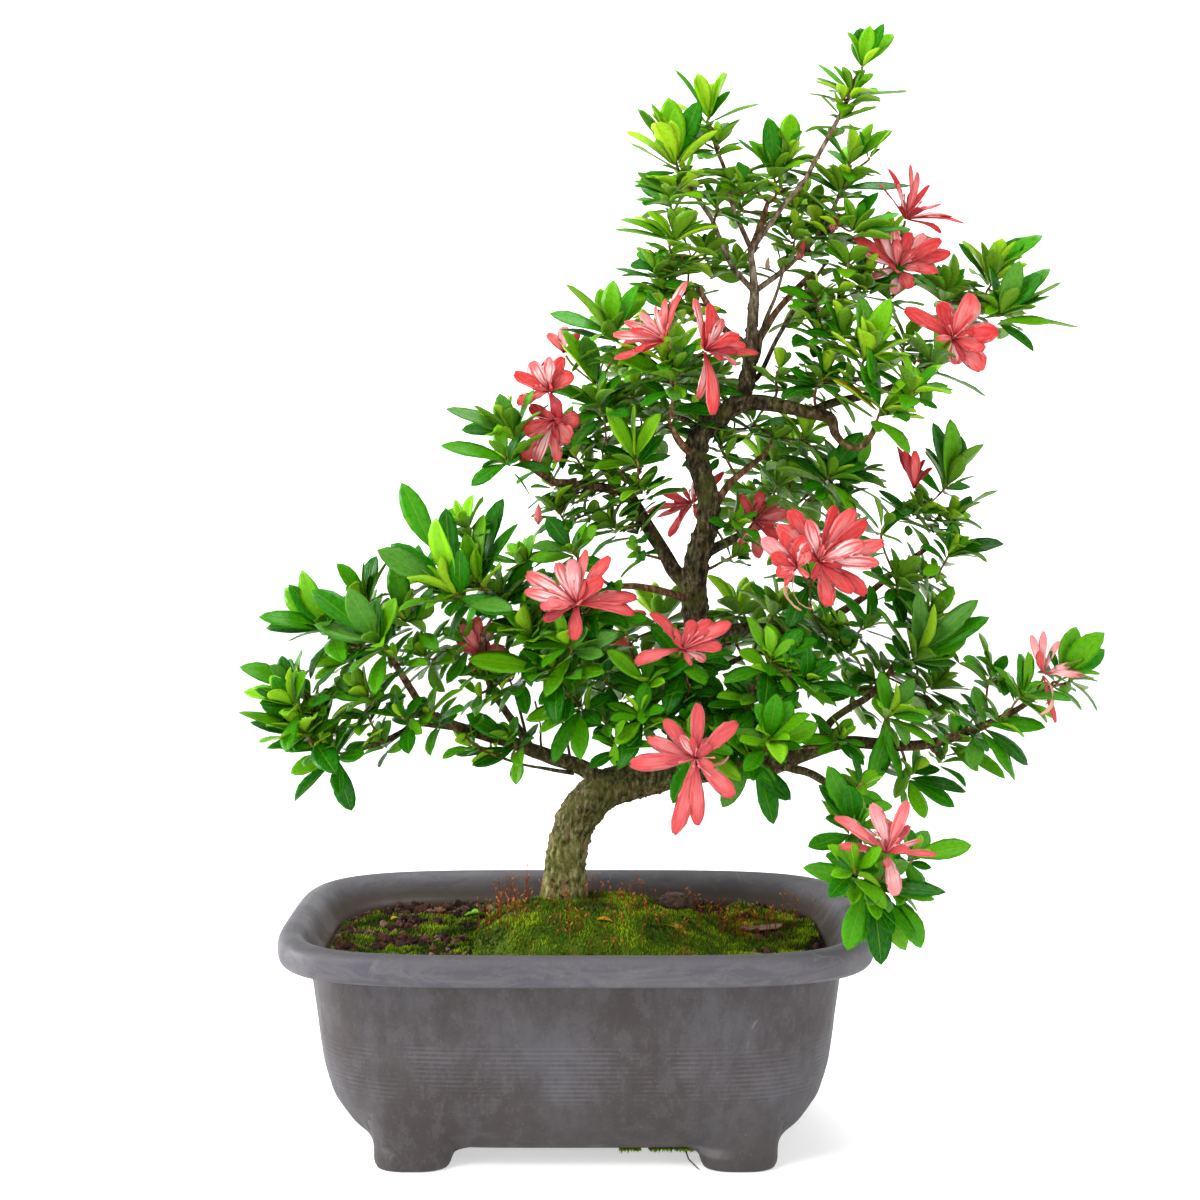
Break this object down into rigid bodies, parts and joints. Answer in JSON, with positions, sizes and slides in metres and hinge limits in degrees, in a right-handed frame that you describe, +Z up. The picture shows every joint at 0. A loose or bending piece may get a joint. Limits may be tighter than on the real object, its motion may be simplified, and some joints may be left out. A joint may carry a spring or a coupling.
{
  "type": "satsuki azalea bonsai",
  "caption": "Satsuki azalea bonsai with a curved trunk, whorled leaves and strap-petalled coral flowers, in a footed tray pot.",
  "frame": {"origin": "middle of the underside of the whole piece's box, on the surface that the pot's feet stand on", "axes": "+Z up along the trunk, -Y the front of the tree, +X to the right of the front"},
  "size_m": [0.4358, 0.2852, 0.5724],
  "materials": {
    "pot": "chalky slate grey, weathered",
    "screen": "matte black mesh",
    "soil": "rough lava grit",
    "moss": "soft velvety cushion",
    "rock": "rough",
    "chip": "dry splintered",
    "bark": "flaky living bark with green algae",
    "leaf": "satin, lighter midrib",
    "petal": "soft matte, white streaks to the throat"
  },
  "bodies": {
    "root": {"pot": "pot", "screen_left": "screen", "screen_right": "screen", "soil": "soil", "moss_mound": "moss", "rock": "rock", "bark_chip": "chip", "trunk": "bark", "branch_left_low": "bark", "branch_left_upper": "bark", "branch_right_low": "bark", "branch_right_mid": "bark", "branch_right_upper": "bark", "branch_top": "bark", "branch_back_low": "bark", "branch_back_mid": "bark", "spray_far_left": "leaf", "spray_left": "leaf", "spray_left_inner": "leaf", "spray_left_rise": "leaf", "spray_bend": "leaf", "spray_centre_front": "leaf", "spray_left_mid": "leaf", "spray_left_upper": "leaf", "spray_left_centre": "leaf", "spray_left_high": "leaf", "spray_top_left_low": "leaf", "spray_top_left": "leaf", "spray_top_middle": "leaf", "spray_top_centre": "leaf", "spray_tip": "leaf", "spray_top_right": "leaf", "spray_right_high": "leaf", "spray_right_top": "leaf", "spray_loop": "leaf", "spray_right_mid": "leaf", "spray_right_shade": "leaf", "spray_right_inner": "leaf", "spray_right": "leaf", "spray_right_end": "leaf", "spray_hanging": "leaf", "spray_front": "leaf", "spray_back_low": "leaf", "spray_back_low_right": "leaf", "spray_back_mid": "leaf", "spray_back_high": "leaf", "flower_low": "petal", "flower_centre": "petal", "flower_left": "petal", "flower_left_upper": "petal", "flower_pair_high": "petal", "flower_right_mid": "petal", "flower_pair_behind": "petal", "flower_closed": "petal", "flower_pair_top_right": "petal", "flower_right_upper": "petal", "flower_hanging": "petal", "flower_faded_end": "petal", "flower_back_low": "petal"}
  },
  "joints": []
}
